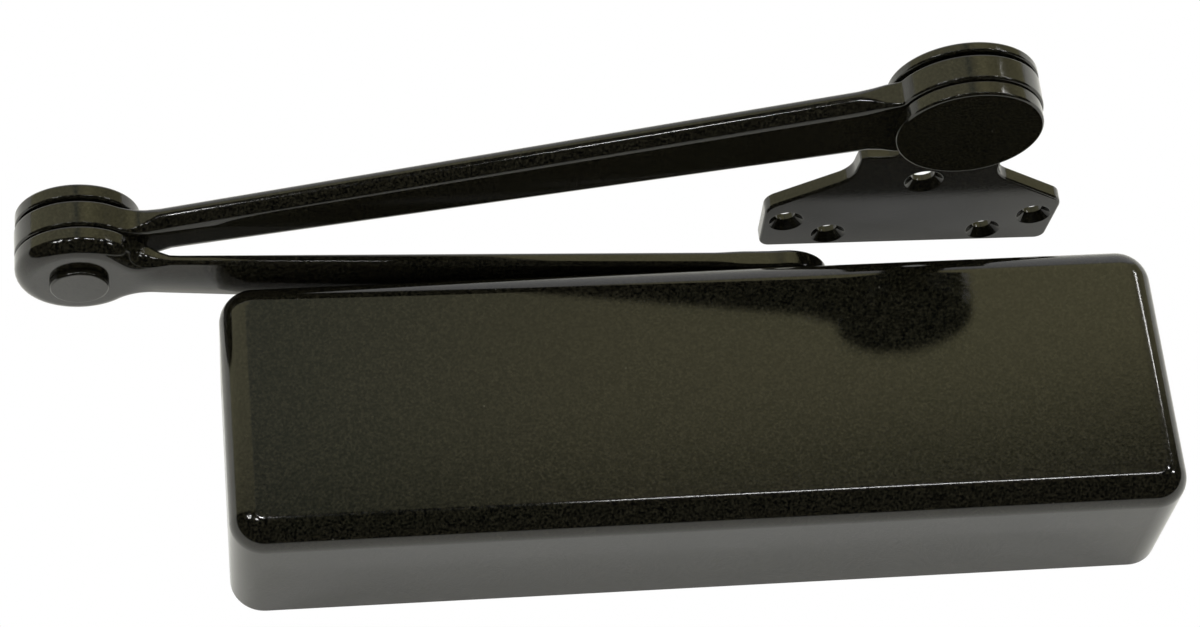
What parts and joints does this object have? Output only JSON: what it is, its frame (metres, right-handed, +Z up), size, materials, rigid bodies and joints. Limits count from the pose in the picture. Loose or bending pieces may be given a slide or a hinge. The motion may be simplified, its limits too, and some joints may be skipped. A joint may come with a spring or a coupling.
{
  "type": "door closer",
  "caption": "Surface door closer: full rounded cover over a cast rack-and-pinion body, a folding parallel arm of two forged bars, and a soffit shoe plate with countersunk holes.",
  "frame": {"origin": "centre of the four mounting holes, on the flat back face that lies against the door", "axes": "+X along the closer towards the spindle end, +Y into the door, +Z up along the spindle"},
  "size_m": [0.399, 0.1509, 0.1332],
  "materials": {
    "bronze_paint": "satin dark bronze powder coat with a fine speckle",
    "casting_paint": "cast iron with a thin grey paint",
    "steel": "machined steel",
    "spring_steel": "oiled spring steel",
    "bearing_bronze": "sintered bronze",
    "zinc": "zinc plated",
    "seal_rubber": "black nitrile rubber",
    "bumper_rubber": "black rubber"
  },
  "bodies": {
    "closer_body": {"cover": "bronze_paint", "cylinder_body": "casting_paint", "spring_end_cap": "casting_paint", "piston_end_plug": "casting_paint", "spring_cap_seal": "seal_rubber", "piston_plug_seal": "seal_rubber", "cover_clip_left": "zinc", "cover_clip_right": "zinc", "clip_screw_left": "zinc", "clip_screw_right": "zinc", "upper_bearing": "bearing_bronze", "lower_bearing": "bearing_bronze", "upper_pinion_seal": "seal_rubber", "lower_pinion_seal": "seal_rubber", "upper_bearing_nut": "steel", "lower_bearing_nut": "steel", "outer_spring": "spring_steel", "inner_spring": "spring_steel"},
    "spring_seat": {"spring_seat": "steel"},
    "spring_adjuster": {"spring_adjuster": "steel"},
    "piston": {"piston": "steel", "piston_ring": "seal_rubber", "check_ball_retainer": "steel"},
    "check_ball": {"check_ball": "steel"},
    "backcheck_valve": {"backcheck_valve": "zinc", "backcheck_valve_seal": "seal_rubber"},
    "main_speed_valve": {"main_speed_valve": "zinc", "main_speed_valve_seal": "seal_rubber"},
    "latch_speed_valve": {"latch_speed_valve": "zinc", "latch_speed_valve_seal": "seal_rubber"},
    "main_arm": {"pinion": "steel", "main_arm": "bronze_paint", "arm_screw": "bronze_paint", "arm_washer": "zinc", "elbow_pin": "bronze_paint", "elbow_cap": "bronze_paint"},
    "forearm": {"forearm": "bronze_paint", "elbow_bush": "bearing_bronze", "shoe_bush": "bearing_bronze", "elbow_spring_washer": "spring_steel", "shoe_spring_washer": "spring_steel", "closing_bumper": "bumper_rubber", "opening_bumper": "bumper_rubber"},
    "shoe": {"shoe_plate": "bronze_paint", "shoe_upper_disc": "bronze_paint", "shoe_lower_disc": "bronze_paint", "shoe_pivot_stud": "steel"}
  },
  "joints": [
    {"name": "main_arm_swing", "type": "hinge", "parent": "closer_body", "child": "main_arm", "pos_m": [0.03597, -0.029, 0], "axis": [0, 0, 1], "range_deg": [0, 160], "stiffness_Nm_per_rad": 6, "springref_deg": -34.38},
    {"name": "piston_slide", "type": "slide", "parent": "closer_body", "child": "piston", "axis": [-1, 0, 0], "range_m": [0, 0.0252], "deforming": ["outer_spring", "inner_spring"]},
    {"name": "check_ball_lift", "type": "slide", "parent": "piston", "child": "check_ball", "axis": [1, 0, 0], "range_m": [0, 0.001]},
    {"name": "adjuster_turn", "type": "hinge", "parent": "closer_body", "child": "spring_adjuster", "pos_m": [-0.13, -0.029, 0], "axis": [1, 0, 0], "range_deg": [0, 720]},
    {"name": "seat_slide", "type": "slide", "parent": "closer_body", "child": "spring_seat", "axis": [1, 0, 0], "range_m": [0, 0.0041]},
    {"name": "backcheck_turn", "type": "hinge", "parent": "closer_body", "child": "backcheck_valve", "pos_m": [0.06992, -0.029, -0.034], "axis": [0, 0, -1], "range_deg": [-90, 270]},
    {"name": "main_speed_turn", "type": "hinge", "parent": "closer_body", "child": "main_speed_valve", "pos_m": [0.08792, -0.029, -0.034], "axis": [0, 0, -1], "range_deg": [-90, 270]},
    {"name": "latch_speed_turn", "type": "hinge", "parent": "closer_body", "child": "latch_speed_valve", "pos_m": [0.10592, -0.029, -0.034], "axis": [0, 0, -1], "range_deg": [-90, 270]},
    {"name": "elbow_pivot", "type": "hinge", "parent": "main_arm", "child": "forearm", "pos_m": [-0.21207, -0.05595, 0.068], "axis": [0, 0, 1], "range_deg": [-150, 6]},
    {"name": "shoe_pivot", "type": "hinge", "parent": "forearm", "child": "shoe", "pos_m": [0.08884, -0.12486, 0.068], "axis": [0, 0, 1], "range_deg": [-20, 100]}
  ],
  "couplings": [
    {"joint": "piston_slide", "follows": "main_arm_swing", "m_per_rad": 0.009},
    {"joint": "seat_slide", "follows": "adjuster_turn", "m_per_rad": 0.00031831}
  ]
}
